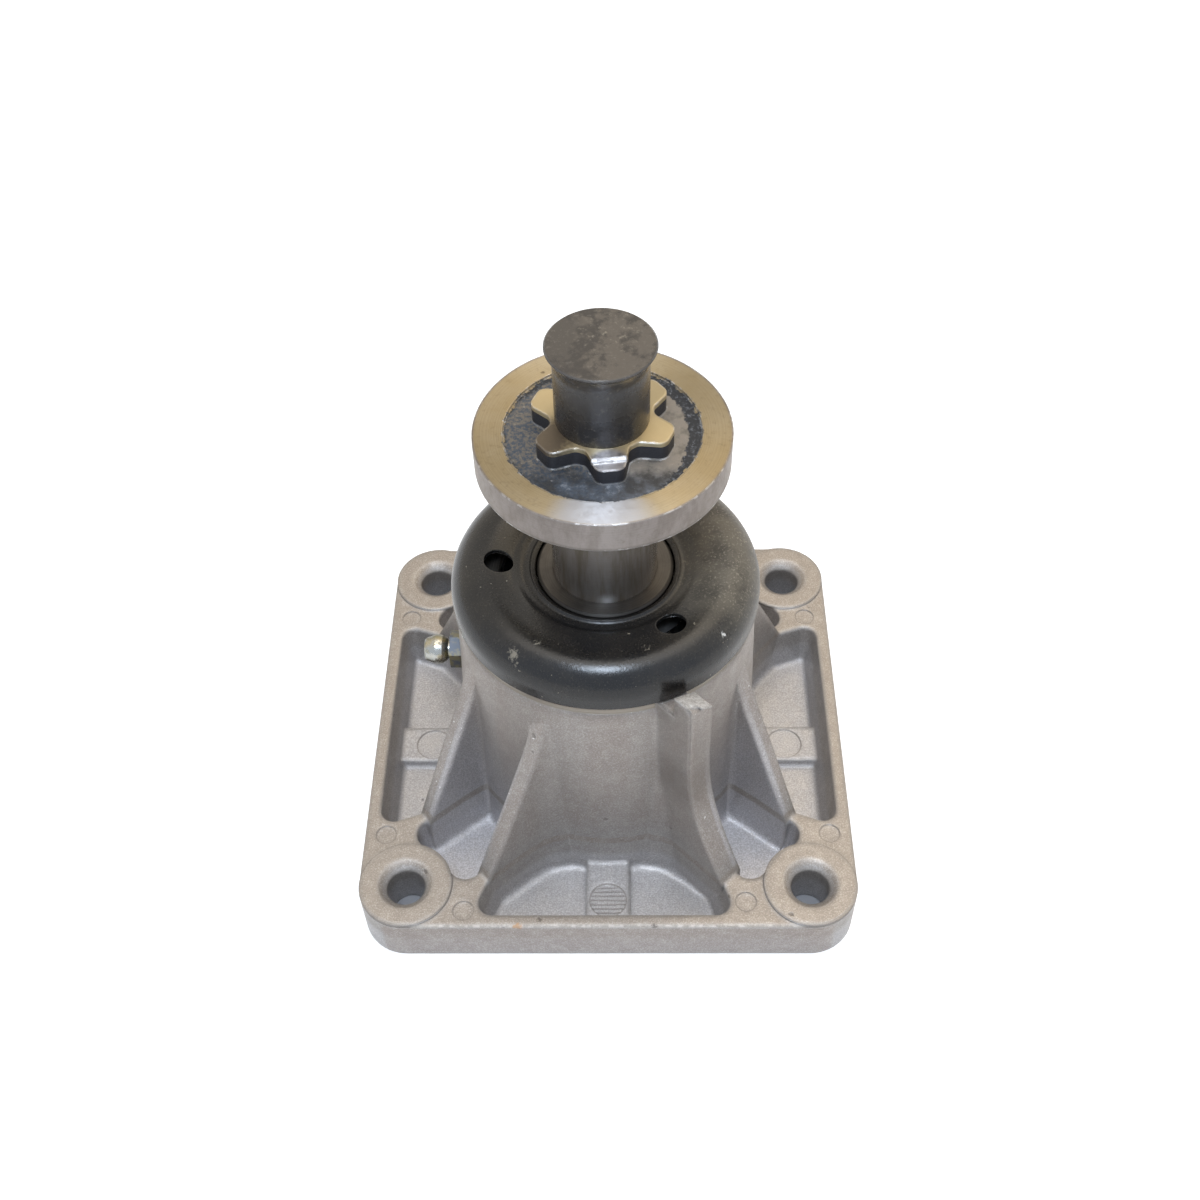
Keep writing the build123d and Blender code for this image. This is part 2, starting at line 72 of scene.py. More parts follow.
def off_by(tree, value, middle):
    """How far a value is from a middle value, either way."""
    return calculate(tree, "ABSOLUTE", calculate(tree, "SUBTRACT", value, middle))


def product(tree, *values):
    """All values multiplied together."""
    result = values[0]
    for value in values[1:]:
        result = calculate(tree, "MULTIPLY", result, value)
    return result


def fade(tree, value, start, end, low=0.0, high=1.0):
    """Value brought from start..end to low..high, smooth at both ends."""
    inputs = {"Value": value, "From Min": start, "From Max": end, "To Min": low, "To Max": high}
    return add_node(tree, "ShaderNodeMapRange", inputs, interpolation_type="SMOOTHSTEP").outputs["Result"]


def blend_colours(tree, share, first, second):
    """The first colour turning into the second as share goes from 0 to 1."""
    node = add_node(tree, "ShaderNodeMix", {0: share}, data_type="RGBA")
    for socket, value in ((node.inputs[6], first), (node.inputs[7], second)):
        if isinstance(value, bpy.types.NodeSocket):
            tree.links.new(value, socket)
        else:
            socket.default_value = value
    return node.outputs[2]


def blend_values(tree, share, first, second):
    """The first number turning into the second as share goes from 0 to 1."""
    return add_node(tree, "ShaderNodeMix", {0: share, 2: first, 3: second}, data_type="FLOAT").outputs[0]


def where_on(tree):
    """Place on the piece, in metres."""
    return add_node(tree, "ShaderNodeTexCoord").outputs["Object"]


def reach_in_plan(tree, x, y):
    """Length of a step of x and y, seen from above."""
    flat = add_node(tree, "ShaderNodeCombineXYZ", {"X": x, "Y": y}).outputs[0]
    return add_node(tree, "ShaderNodeVectorMath", {0: flat}, operation="LENGTH").outputs["Value"]


def noise(tree, scale, detail=3.0, roughness=0.5, stretch=(1.0, 1.0, 1.0)):
    """Cloudy pattern fixed to the piece."""
    place = add_node(tree, "ShaderNodeMapping", {"Vector": where_on(tree), "Scale": stretch}).outputs[0]
    inputs = {"Vector": place, "Scale": scale, "Detail": detail, "Roughness": roughness}
    return add_node(tree, "ShaderNodeTexNoise", inputs).outputs["Fac"]


def near(tree, centre, radius, blur=0.0003, wobble=0.0):
    """1 around a point of the piece and 0 outside, with an outline uneven by wobble."""
    distance = add_node(tree, "ShaderNodeVectorMath", {0: where_on(tree), 1: centre}, operation="DISTANCE")
    reach = distance.outputs["Value"]
    if wobble:
        uneven = fade(tree, noise(tree, 1500.0, 3.0, 0.6), 0.3, 0.7, -wobble, wobble)
        reach = calculate(tree, "ADD", reach, uneven)
    return fade(tree, reach, radius + blur, radius - blur)


def new_effect(name, inputs, outputs):
    """A node group for an effect that several materials share."""
    group = bpy.data.node_groups.new(name, "ShaderNodeTree")
    for label, value in inputs:
        group.interface.new_socket(label, in_out="INPUT", socket_type="NodeSocketFloat").default_value = value
    for label, kind in outputs:
        group.interface.new_socket(label, in_out="OUTPUT", socket_type=kind)
    entry = group.nodes.new("NodeGroupInput")
    result = group.nodes.new("NodeGroupOutput")
    return group, entry, result


def use_effect(tree, group, **inputs):
    """Places a shared effect in a material; the names of inputs have _ for a space."""
    node = tree.nodes.new("ShaderNodeGroup")
    node.node_tree = group
    for name, value in inputs.items():
        socket = node.inputs[name.replace("_", " ")]
        if isinstance(value, bpy.types.NodeSocket):
            tree.links.new(value, socket)
        else:
            socket.default_value = value
    return node.outputs


def new_material(name, **settings):
    """A material with one shader, whose plain values are given by socket name with _ for a space."""
    material = bpy.data.materials.new(name)
    material.use_nodes = True
    shader = material.node_tree.nodes["Principled BSDF"]
    for socket, value in settings.items():
        shader.inputs[socket.replace("_", " ")].default_value = value
    return material, material.node_tree, shader


def paint(tree, shader, colour, roughness):
    """Gives a shader the colour and roughness of its surface."""
    tree.links.new(colour, shader.inputs["Base Color"])
    tree.links.new(roughness, shader.inputs["Roughness"])


def bump(tree, shader, height, distance, normal):
    """Lets a height pattern of that depth in metres tilt the surface."""
    inputs = {"Height": height, "Distance": distance, "Strength": 1.0, "Normal": normal}
    tree.links.new(add_node(tree, "ShaderNodeBump", inputs).outputs[0], shader.inputs["Normal"])


def give(material, *names):
    """Puts a material on CAD nodes."""
    for name in names:
        mesh = parts[name].data
        mesh.materials.clear()
        mesh.materials.append(material)


# Place round the shaft: distance from its axis, the two coordinates in plan, and the height
shaft_place, _, result = new_effect(
    "place round the shaft",
    (),
    tuple((label, "NodeSocketFloat") for label in ("Radius", "X", "Y", "Height")),
)
split = add_node(shaft_place, "ShaderNodeSeparateXYZ", {0: where_on(shaft_place)})
for label, socket in (
    ("Radius", reach_in_plan(shaft_place, split.outputs["X"], split.outputs["Y"])),
    ("X", split.outputs["X"]),
    ("Y", split.outputs["Y"]),
    ("Height", split.outputs["Z"]),
):
    shaft_place.links.new(socket, result.inputs[label])

# Edges rounded by the die or by tumbling: the rounded normal, and how far a spot is into an edge
soft_edges, entry, result = new_effect(
    "rounded edges",
    (("Size", 0.0008),),
    (("Edge", "NodeSocketFloat"), ("Normal", "NodeSocketVector")),
)
rounded = add_node(soft_edges, "ShaderNodeBevel", {"Radius": entry.outputs["Size"]}, samples=4).outputs[0]
true_normal = add_node(soft_edges, "ShaderNodeNewGeometry").outputs["True Normal"]
turn = add_node(soft_edges, "ShaderNodeVectorMath", {0: rounded, 1: true_normal}, operation="DOT_PRODUCT")
soft_edges.links.new(fade(soft_edges, turn.outputs["Value"], 0.997, 0.85), result.inputs["Edge"])
soft_edges.links.new(rounded, result.inputs["Normal"])

# Fine rings left by a turning tool, on flat faces and on round ones
turning_marks, entry, result = new_effect(
    "turning marks",
    (("Pitch", 0.0003),),
    (("Height", "NodeSocketFloat"),),
)
place = use_effect(turning_marks, shaft_place)
along = calculate(turning_marks, "ADD", place["Radius"], place["Height"])
rings = add_node(
    turning_marks,
    "ShaderNodeTexNoise",
    {"W": calculate(turning_marks, "DIVIDE", along, entry.outputs["Pitch"]), "Scale": 1.0, "Detail": 3.0},
    noise_dimensions="1D",
).outputs["Fac"]
turning_marks.links.new(rings, result.inputs["Height"])

# Scattered small spots of uneven size, such as dust, pits or chips
spots, entry, result = new_effect(
    "scattered spots",
    (("Scale", 400.0), ("Share", 0.1), ("Size", 0.3)),
    (("Mask", "NodeSocketFloat"),),
)
shaken = add_node(spots, "ShaderNodeTexNoise", {"Vector": where_on(spots), "Scale": 900.0, "Detail": 2.0})
shift = add_node(
    spots,
    "ShaderNodeVectorMath",
    {0: shaken.outputs["Color"], 1: (0.0012, 0.0012, 0.0012)},
    operation="MULTIPLY",
).outputs[0]
shaken_place = add_node(spots, "ShaderNodeVectorMath", {0: where_on(spots), 1: shift}, operation="ADD")
cell_inputs = {"Vector": shaken_place.outputs[0], "Scale": entry.outputs["Scale"]}
cells = add_node(spots, "ShaderNodeTexVoronoi", cell_inputs)
cell_value = add_node(spots, "ShaderNodeSeparateColor", {0: cells.outputs["Color"]})
chosen = calculate(spots, "LESS_THAN", cell_value.outputs[0], entry.outputs["Share"])
own_size = product(spots, entry.outputs["Size"], fade(spots, cell_value.outputs[1], 0.0, 1.0, 0.3, 1.4))
share_out = calculate(spots, "DIVIDE", cells.outputs["Distance"], own_size)
spots.links.new(product(spots, chosen, fade(spots, share_out, 1.0, 0.6)), result.inputs["Mask"])

cast, tree, shader = new_material("cast aluminium", Specular_IOR_Level=0.5)
place = use_effect(tree, shaft_place)
edges = use_effect(tree, soft_edges, Size=0.0020)
true_normal = add_node(tree, "ShaderNodeNewGeometry").outputs["True Normal"]
upward = fade(tree, add_node(tree, "ShaderNodeSeparateXYZ", {0: true_normal}).outputs["Z"], 0.15, 0.30)
broad = noise(tree, 35.0, 3.0, 0.5)
drag = noise(tree, 130.0, 4.0, 0.6, (1.0, 1.0, 0.12))
mottle = noise(tree, 330.0, 4.0, 0.6)
grain = noise(tree, 2700.0, 3.0, 0.6)
pits = use_effect(tree, spots, Scale=240.0, Share=0.05, Size=0.14)["Mask"]
colour = blend_colours(tree, fade(tree, broad, 0.3, 0.7), cast_dark, cast_colour)
wall = fade(tree, place["Height"], 0.0150, 0.0250)
dragged = product(tree, wall, fade(tree, drag, 0.36, 0.62, 0.15, 0.50))
colour = blend_colours(tree, dragged, colour, cast_brown)
# Painted light: the floors low on the casting are painted lighter, as if more light fell on them
colour = blend_colours(tree, fade(tree, place["Height"], 0.0100, 0.0070, 0.0, 0.75), colour, cast_floor_painted_light)
beside_x = calculate(tree, "ABSOLUTE", place["X"])
beside_y = calculate(tree, "ABSOLUTE", place["Y"])
# Painted light: the walls and floors in the gaps between the ribs are painted lighter and bluer, as if more
# light fell there
painted_light_between_ribs = product(
    tree,
    fade(tree, off_by(tree, beside_x, beside_y), 0.0160, 0.0146),
    fade(tree, place["Radius"], 0.0364, 0.0400),
    fade(tree, place["Height"], 0.0640, 0.0250),
    fade(tree, place["Radius"], 0.0610, 0.0585),
)
colour = blend_colours(tree, product(tree, painted_light_between_ribs, 0.70), colour, cast_gap_painted_light)
# A browner band round the height of the lands
land_band = fade(tree, off_by(tree, place["Height"], land_height + 0.0008), 0.0016, 0.0008, 0.0, 0.8)
colour = blend_colours(tree, land_band, colour, cast_land_band_colour)
side_reach = calculate(tree, "MAXIMUM", beside_x, beside_y)
low_side = product(tree, fade(tree, side_reach, 0.0608, 0.0616), fade(tree, place["Height"], 0.0132, 0.0126))
colour = blend_colours(tree, product(tree, low_side, 0.6), colour, cast_brown)
colour = blend_colours(tree, fade(tree, mottle, 0.4, 0.75, 0.0, 0.25), colour, cast_light)
colour = blend_colours(tree, fade(tree, grain, 0.35, 0.7, 0.50, 0.0), colour, cast_stain_and_shade)
colour = blend_colours(tree, fade(tree, grain, 0.55, 0.8, 0.0, 0.65), colour, cast_light)
# Stain with painted shade on the hub beside the gate, grime with a painted shadow under the shield, and the
# outlines of the bosses as painted shade
stain_and_shade = near(tree, (0.0185, -0.0380, 0.0440), 0.0075, 0.0050, 0.0015)
under_shield = fade(tree, place["Height"], 0.0625, 0.0665)
shield_shadow_and_grime = product(tree, under_shield, fade(tree, place["Radius"], 0.0420, 0.0385), 0.35)
soiled_and_shaded = calculate(tree, "MAXIMUM", product(tree, stain_and_shade, 0.45), shield_shadow_and_grime)
colour = blend_colours(tree, soiled_and_shaded, colour, cast_stain_and_shade)


def reach_from_bolts(tree, place):
    """Distance in plan from the nearest of the four bolt holes."""
    off_x = calculate(tree, "SUBTRACT", calculate(tree, "ABSOLUTE", place["X"]), bolt_place)
    off_y = calculate(tree, "SUBTRACT", calculate(tree, "ABSOLUTE", place["Y"]), bolt_place)
    return reach_in_plan(tree, off_x, off_y)


# Painted shade: a dark line round the foot of each raised boss, where its side wall is in shadow
boss_line = fade(tree, off_by(tree, reach_from_bolts(tree, place), boss_radius), 0.0003, 0.0001)
on_land = fade(tree, off_by(tree, place["Height"], land_height), 0.0006, 0.0004)
colour = blend_colours(tree, product(tree, boss_line, on_land, 0.7), colour, boss_outline_shade)
# Dark outlines of the ejector marks on the lands and pads, and the grid of lines in the front one
mark_line = 0.0
for height, radius, points in (
    (land_height, 0.0026, ((-0.0571, -0.0362), (0.0569, -0.0360), (-0.0358, -0.0580), (0.0344, -0.0556))),
    (land_height, 0.0026, ((-0.0571, 0.0362), (0.0563, 0.0362), (-0.0358, 0.0574), (0.0358, 0.0574))),
    (pad_height, 0.0047, ((0.0, -0.0502), (0.0, 0.0466), (-0.0484, -0.0018), (0.0484, -0.0018))),
):
    for x, y in points:
        ends = {0: where_on(tree), 1: (x, y, height)}
        away = add_node(tree, "ShaderNodeVectorMath", ends, operation="DISTANCE").outputs["Value"]
        off_line = off_by(tree, away, radius)
        mark_line = calculate(tree, "MAXIMUM", mark_line, fade(tree, off_line, 0.00028, 0.00008))
colour = blend_colours(tree, product(tree, mark_line, 0.55), colour, cast_stain_and_shade)
hatch_wave = add_node(
    tree,
    "ShaderNodeTexWave",
    {"Vector": where_on(tree), "Scale": 260.0, "Distortion": 1.2, "Detail": 1.0, "Detail Scale": 2.0},
    bands_direction="Y",
).outputs["Fac"]
on_front_pad = near(tree, (0.0, -0.0502, 0.0049), 0.0045, 0.0002)
in_hatch = product(tree, on_front_pad, fade(tree, hatch_wave, 0.55, 0.8))
colour = blend_colours(tree, product(tree, in_hatch, 0.4), colour, cast_stain_and_shade)
# Worn bright and painted highlight: the flash line along the front edge of the flange and the low soft edges,
# the hollow ones as well, are painted lighter, partly as wear and partly as highlight; the torn gate is worn
# bright
edge_line = product(
    tree,
    fade(tree, off_by(tree, place["Height"], land_height - 0.0001), 0.00045, 0.00015),
    fade(tree, place["Y"], front_side + 0.0008, front_side + 0.0004),
    fade(tree, noise(tree, 420.0, 3.0, 0.6), 0.42, 0.60, 0.0, 0.7),
    fade(tree, beside_x, 0.050, 0.040),
)
across = product(tree, calculate(tree, "ADD", place["X"], place["Y"]), -0.7071)
tear = calculate(tree, "MULTIPLY", calculate(tree, "SUBTRACT", across, gate_middle), gate_slope)
below_tear = calculate(tree, "SUBTRACT", calculate(tree, "ADD", tear, gate_height), place["Height"])
on_gate = product(tree, fade(tree, place["X"], 0.0150, 0.0160), fade(tree, place["Radius"], 0.0380, 0.0386))
torn = product(tree, on_gate, fade(tree, below_tear, 0.0007, 0.0003))
bright = product(tree, edges["Edge"], fade(tree, place["Height"], 0.0200, 0.0150, 0.12, 0.38))
bright = calculate(tree, "MAXIMUM", bright, edge_line)
colour = blend_colours(tree, bright, colour, worn_and_highlight_colour)
torn_grain = noise(tree, 1700.0, 4.0, 0.7)
torn_shade = blend_colours(tree, fade(tree, torn_grain, 0.36, 0.58, 0.25, 1.0), cast_dark, torn_colour)
colour = blend_colours(tree, torn, colour, torn_shade)
# Bright chips beside the gate under the shield, and bright grit along the upward faces of the rib crests:
# rough grain with painted glints on it
chips_and_glints = near(tree, (0.0138, -0.0341, 0.0665), 0.0012, 0.0003, 0.0006)
grit_and_glints = use_effect(tree, spots, Scale=900.0, Share=0.16, Size=0.20)["Mask"]
on_crest = product(tree, upward, fade(tree, place["Height"], 0.0160, 0.0200))
chips_and_glints = calculate(tree, "MAXIMUM", chips_and_glints, product(tree, grit_and_glints, on_crest, 0.8))
colour = blend_colours(tree, chips_and_glints, colour, (0.85, 0.84, 0.83, 1.0))
colour = blend_colours(tree, product(tree, pits, 0.5), colour, (0.10, 0.085, 0.075, 1.0))
for x, y in ((0.0115, -0.0622), (-0.0168, -0.0606), (0.0300, -0.0540)):
    dark = near(tree, (x, y, land_height), 0.0005, 0.0003, 0.0003)
    colour = blend_colours(tree, product(tree, dark, 0.7), colour, (0.08, 0.065, 0.055, 1.0))
orange = near(tree, (-0.0222, front_side, land_height), 0.0010, 0.0005, 0.0004)
colour = blend_colours(tree, product(tree, orange, 0.6), colour, orange_colour)
# Machined where the rim, the bearing seats and the mounting face are. Their turned colours are painted dark,
# a painted shadow of the shield's lip on the rim that the seats and the mounting face share
rim = product(
    tree,
    fade(tree, place["Height"], band_foot - 0.0001, band_foot),
    calculate(tree, "LESS_THAN", place["Radius"], band_radius),
)
seats = calculate(tree, "LESS_THAN", place["Radius"], bore_radius)
face = calculate(tree, "LESS_THAN", place["Height"], 0.00005)
machined = calculate(tree, "MAXIMUM", calculate(tree, "MAXIMUM", rim, seats), face)
marks = use_effect(tree, turning_marks, Pitch=0.00025)["Height"]
turned_in_shadow = blend_colours(tree, fade(tree, marks, 0.3, 0.7), machined_in_shadow, machined_in_shadow_light)
colour = blend_colours(tree, machined, colour, turned_in_shadow)
paint(tree, shader, colour, blend_values(tree, machined, fade(tree, mottle, 0.3, 0.7, 0.52, 0.42), 0.34))
tree.links.new(blend_values(tree, machined, 0.6, 0.9), shader.inputs["Metallic"])
skin = calculate(tree, "ADD", product(tree, grain, 0.5), product(tree, mottle, 0.8))
skin = calculate(tree, "SUBTRACT", skin, calculate(tree, "ADD", pits, product(tree, in_hatch, 0.8)))
skin = calculate(tree, "ADD", skin, product(tree, torn, torn_grain, 5.0))
bump(tree, shader, blend_values(tree, machined, skin, product(tree, marks, 0.3)), 0.00013, edges["Normal"])
give(cast, "housing_casting")


# Dust shield: pressed from thin sheet steel and enamelled satin black. It grips the turned rim of the hub,
# and its three vents look down on the upper bearing. Dust and a few chips lie on the paint.

enamel_colour = (0.010, 0.010, 0.011, 1.0)
enamel_brown = (0.019, 0.017, 0.015, 1.0)
film_colour = (0.09, 0.08, 0.065, 1.0)
rubbed_edge = (0.16, 0.14, 0.12, 1.0)
dust_and_sheen_colour = (0.42, 0.37, 0.29, 1.0)
chip_colour = (0.80, 0.78, 0.74, 1.0)

enamel, tree, shader = new_material("black enamel", Metallic=0.0, Specular_IOR_Level=0.45)
place = use_effect(tree, shaft_place)
edges = use_effect(tree, soft_edges, Size=0.0004)
clouds = noise(tree, 120.0, 4.0, 0.6)
orange_peel = noise(tree, 1400.0, 2.0, 0.5)
dust = use_effect(tree, spots, Scale=330.0, Share=0.07, Size=0.09)["Mask"]
specks = use_effect(tree, spots, Scale=800.0, Share=0.10, Size=0.16)["Mask"]
dust = calculate(tree, "MAXIMUM", dust, product(tree, specks, 0.55))
sand = fade(tree, noise(tree, 1700.0, 4.0, 0.7), 0.52, 0.68)
# A thin brown film lies all over. On the right half sandy dust lies, and a warm sheen is painted there as
# well
dust_and_sheen_side = product(tree, fade(tree, place["X"], 0.010, 0.030), fade(tree, place["Y"], -0.030, -0.005))
colour = blend_colours(tree, fade(tree, clouds, 0.3, 0.75), enamel_colour, enamel_brown)
film = fade(tree, noise(tree, 2300.0, 2.0, 0.6), 0.55, 0.75, 0.0, 0.35)
colour = blend_colours(tree, film, colour, film_colour)
dust_and_sheen = product(tree, dust_and_sheen_side, fade(tree, clouds, 0.3, 0.6, 0.10, 0.26))
colour = blend_colours(tree, dust_and_sheen, colour, dust_and_sheen_colour)
colour = blend_colours(tree, product(tree, dust_and_sheen_side, sand, 0.45), colour, dust_and_sheen_colour)
colour = blend_colours(tree, product(tree, dust, 0.8), colour, dust_and_sheen_colour)
colour = blend_colours(tree, product(tree, edges["Edge"], 0.25), colour, rubbed_edge)
chips = 0.0
for centre, radius in (
    ((-0.0206, -0.0276, 0.0780), 0.0011),
    ((-0.0198, -0.0292, 0.0765), 0.0008),
    ((-0.0047, -0.0345, 0.0745), 0.0010),
    ((-0.0162, -0.0162, 0.0780), 0.0005),
    ((0.0096, -0.0280, 0.0800), 0.0004),
    ((-0.0153, -0.0263, 0.0800), 0.0004),
):
    chips = calculate(tree, "MAXIMUM", chips, near(tree, centre, radius, 0.0005, 0.0006))
colour = blend_colours(tree, product(tree, chips, 0.55), colour, dust_and_sheen_colour)
white_chip = near(tree, (0.0270, -0.0220, 0.0778), 0.0006, 0.0003, 0.0003)
colour = blend_colours(tree, white_chip, colour, chip_colour)
rough = fade(tree, clouds, 0.3, 0.75, 0.21, 0.29)
paint(tree, shader, colour, calculate(tree, "ADD", rough, product(tree, dust_and_sheen_side, 0.18)))
relief = calculate(tree, "ADD", orange_peel, calculate(tree, "MAXIMUM", dust, chips))
bump(tree, shader, relief, 0.00003, edges["Normal"])
give(enamel, "dust_shield")


# Spindle shaft: one steel forging, turned all over but for the floor around the star, which keeps its black
# scale. The blade lies on the bright ring of the disc, and its star hole drops over the six teeth.

ring_colour = (0.375, 0.308, 0.195, 1.0)
ring_pale = (0.420, 0.360, 0.255, 1.0)
ring_painted_highlight = (0.44, 0.45, 0.49, 1.0)
tooth_colour = (0.50, 0.42, 0.27, 1.0)
side_colour = (0.285, 0.258, 0.245, 1.0)
bare_shaft_colour = (0.30, 0.275, 0.255, 1.0)
side_scuffed = (0.165, 0.140, 0.125, 1.0)
shaft_reflection_streak = (0.19, 0.160, 0.125, 1.0)
turned_dark = (0.16, 0.125, 0.080, 1.0)
scale_black = (0.016, 0.019, 0.025, 1.0)
scale_blue = (0.050, 0.065, 0.090, 1.0)
scale_brown = (0.155, 0.135, 0.110, 1.0)
scale_tan = (0.27, 0.235, 0.195, 1.0)
tooth_side = (0.030, 0.030, 0.036, 1.0)
struck_dark = (0.13, 0.125, 0.13, 1.0)
struck_pale_highlight = (0.36, 0.34, 0.34, 1.0)
disc_foot = 0.1140
recess_low = 0.1205
tooth_low = 0.1246

steel, tree, shader = new_material("turned steel", Anisotropic=0.9, Anisotropic_Rotation=0.25)
place = use_effect(tree, shaft_place)
edges = use_effect(tree, soft_edges, Size=0.0007)
marks = use_effect(tree, turning_marks, Pitch=0.00013)["Height"]
clouds = noise(tree, 70.0, 4.0, 0.6)
fine = noise(tree, 900.0, 3.0, 0.6)
pits = use_effect(tree, spots, Scale=150.0, Share=0.05, Size=0.07)["Mask"]
colour = blend_colours(tree, fade(tree, clouds, 0.35, 0.7), ring_colour, ring_pale)
side = fade(tree, place["Radius"], 0.0278, 0.0284)
below_disc = calculate(tree, "LESS_THAN", place["Height"], disc_foot)
bare_shaft = product(tree, fade(tree, place["Radius"], 0.0146, 0.0140), below_disc)
scuffs = noise(tree, 230.0, 5.0, 0.7, (1.0, 1.0, 0.35))
side_shade = blend_colours(tree, fade(tree, scuffs, 0.40, 0.66, 0.0, 0.55), side_colour, side_scuffed)
low_side = fade(tree, place["Height"], disc_foot + 0.0008, disc_foot - 0.0004, 0.0, 0.5)
side_shade = blend_colours(tree, low_side, side_shade, (0.08, 0.07, 0.06, 1.0))
colour = blend_colours(tree, side, colour, side_shade)
# Painted reflection: dark vertical streaks on the bare shaft, as the dark parts round it mirrored
streaks = noise(tree, 230.0, 4.0, 0.7, (1.0, 1.0, 0.10))
shaft_shade = blend_colours(tree, fade(tree, streaks, 0.38, 0.64), bare_shaft_colour, shaft_reflection_streak)
glint = near(tree, (0.0006, -0.0124, 0.0788), 0.0008, 0.0024)
shaft_shade = blend_colours(tree, glint, shaft_shade, (0.95, 0.97, 1.0, 1.0))
colour = blend_colours(tree, bare_shaft, colour, shaft_shade)
colour = blend_colours(tree, fade(tree, marks, 0.35, 0.70, 0.0, 0.32), colour, turned_dark)
colour = blend_colours(tree, fade(tree, fine, 0.55, 0.75, 0.0, 0.25), colour, turned_dark)
colour = blend_colours(tree, product(tree, pits, 0.6), colour, (0.07, 0.05, 0.035, 1.0))
# Painted highlight: the front sector of the ring is painted paler and bluer, as the shine of the front lamp
# across the turning marks
slant = calculate(tree, "DIVIDE", place["X"], place["Y"])
sector = product(tree, fade(tree, slant, -0.55, -0.25), fade(tree, slant, 0.55, 0.25))
front_highlight = product(tree, sector, fade(tree, place["Y"], -0.0200, -0.0215), fade(tree, side, 1.0, 0.0))
colour = blend_colours(tree, product(tree, front_highlight, 0.85), colour, ring_painted_highlight)
# Scale on the floor of the recess and on the sides of the star: granular on the left, bluish in front, tan on
# the right, with a black uneven rim that is widest at the back right
uneven = fade(tree, noise(tree, 450.0, 4.0, 0.7), 0.25, 0.75, -0.0007, 0.0007)
wobble = calculate(tree, "ADD", place["Radius"], uneven)
in_recess = fade(tree, wobble, 0.0219, 0.0215)
above_floor = calculate(tree, "GREATER_THAN", place["Height"], recess_low)
below_tops = calculate(tree, "LESS_THAN", place["Height"], tooth_low)
scaled = product(tree, in_recess, above_floor, below_tops)
star_side = product(tree, fade(tree, place["Height"], 0.12115, 0.12145), below_tops, above_floor)
granular = noise(tree, 1300.0, 4.0, 0.75)
patches = noise(tree, 230.0, 4.0, 0.65)
right_share = fade(tree, calculate(tree, "ADD", place["X"], product(tree, patches, 0.006)), -0.001, 0.012)
front_share = fade(tree, calculate(tree, "ADD", place["Y"], product(tree, patches, 0.010)), -0.003, -0.011)
floor_colour = blend_colours(tree, fade(tree, granular, 0.40, 0.60), scale_blue, scale_brown)
tan_mix = blend_colours(tree, fade(tree, patches, 0.36, 0.52), scale_brown, scale_tan)
floor_colour = blend_colours(tree, product(tree, right_share, 0.85), floor_colour, tan_mix)
blue_mix = blend_colours(tree, fade(tree, patches, 0.38, 0.62), scale_black, scale_blue)
frost = product(tree, fade(tree, patches, 0.56, 0.66), fade(tree, granular, 0.40, 0.60), 0.45)
blue_mix = blend_colours(tree, frost, blue_mix, (0.33, 0.38, 0.45, 1.0))
floor_colour = blend_colours(tree, product(tree, front_share, 0.85), floor_colour, blue_mix)
rim_start = fade(tree, calculate(tree, "ADD", place["X"], place["Y"]), -0.012, 0.018, 0.0213, 0.0186)
rim_mask = fade(tree, calculate(tree, "SUBTRACT", wobble, rim_start), -0.0002, 0.0003)
rim_colour = blend_colours(tree, fade(tree, granular, 0.50, 0.66), scale_black, (0.10, 0.11, 0.13, 1.0))
floor_colour = blend_colours(tree, rim_mask, floor_colour, rim_colour)
sparkle = fade(tree, granular, 0.62, 0.72, 0.0, 0.5)
floor_colour = blend_colours(tree, sparkle, floor_colour, (0.40, 0.40, 0.42, 1.0))
floor_colour = blend_colours(tree, star_side, floor_colour, tooth_side)
colour = blend_colours(tree, scaled, colour, floor_colour)
# Tops of the teeth: tan, the left front one browned, the struck front one bright: a struck mark with a
# painted highlight on it
tops = calculate(tree, "GREATER_THAN", place["Height"], tooth_low)
colour = blend_colours(tree, tops, colour, tooth_colour)
browned = product(tree, tops, near(tree, (-0.0125, -0.0070, 0.1258), 0.0060, 0.0020, 0.0006))
colour = blend_colours(tree, product(tree, browned, 0.85), colour, (0.110, 0.093, 0.085, 1.0))
struck = product(tree, tops, near(tree, (0.0017, -0.0150, 0.1250), 0.0046, 0.0010))
struck_mark_and_highlight = blend_colours(tree, fade(tree, patches, 0.35, 0.60), struck_dark, struck_pale_highlight)
colour = blend_colours(tree, struck, colour, struck_mark_and_highlight)
# Bright nicks on the edges, and along hollow creases such as the feet of the teeth a painted highlight
nicks_and_highlights = product(tree, edges["Edge"], fade(tree, noise(tree, 420.0, 3.0, 0.6), 0.52, 0.60, 0.20, 0.85))
colour = blend_colours(tree, nicks_and_highlights, colour, (0.78, 0.77, 0.76, 1.0))
rough = blend_values(tree, scaled, fade(tree, fine, 0.3, 0.7, 0.34, 0.42), 0.42)
paint(tree, shader, colour, blend_values(tree, bare_shaft, rough, 0.26))
dull = calculate(tree, "MAXIMUM", product(tree, scaled, 0.75), product(tree, bare_shaft, 0.5))
tree.links.new(calculate(tree, "SUBTRACT", 1.0, dull), shader.inputs["Metallic"])
height = blend_values(tree, scaled, product(tree, marks, 0.12), product(tree, granular, 1.3))
height = calculate(tree, "SUBTRACT", height, product(tree, pits, 0.3))
bump(tree, shader, height, 0.00010, edges["Normal"])


def follow_turning(tree, shader):
    """Lets the shine run across the turning marks, which go round the shaft."""
    tangent = add_node(tree, "ShaderNodeTangent", direction_type="RADIAL", axis="Z")
    tree.links.new(tangent.outputs[0], shader.inputs["Tangent"])


follow_turning(tree, shader)
give(steel, "spindle_shaft", "bearing_spacer")


# Shaft collar: a turned steel ring pressed on the shaft above the upper bearing, dark grey and darkest at its
# outer edge.

